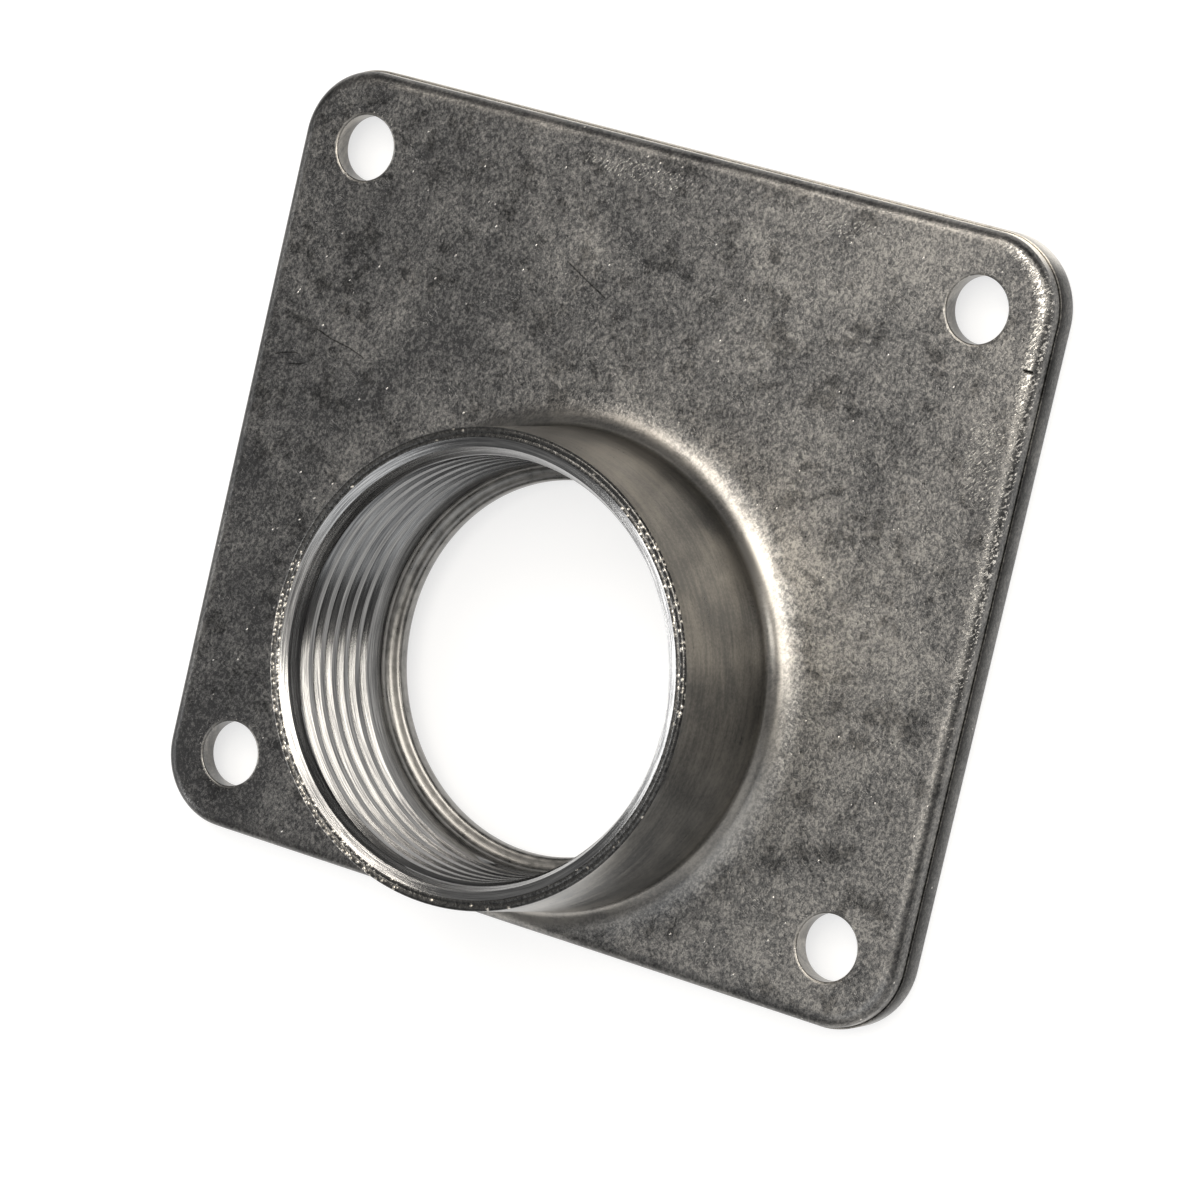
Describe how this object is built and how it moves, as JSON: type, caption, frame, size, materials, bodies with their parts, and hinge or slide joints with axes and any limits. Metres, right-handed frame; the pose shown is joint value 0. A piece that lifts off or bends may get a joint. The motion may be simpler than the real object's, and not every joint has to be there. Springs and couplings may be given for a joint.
{
  "type": "conduit hub",
  "caption": "Bolt-on conduit hub: a flanged rectangular plate with corner screw holes and an off-centre threaded boss that passes conduit into an enclosure.",
  "frame": {"origin": "centre of the plate's back face, which seats on the enclosure", "axes": "+Z along the boss axis, away from the enclosure; +X along the plate's long side; +Y towards the edge that is further from the boss"},
  "size_m": [0.0932, 0.0848, 0.0232],
  "materials": {
    "cast_metal": "as cast, mottled grey"
  },
  "bodies": {
    "root": {"hub_casting": "cast_metal"}
  },
  "joints": []
}
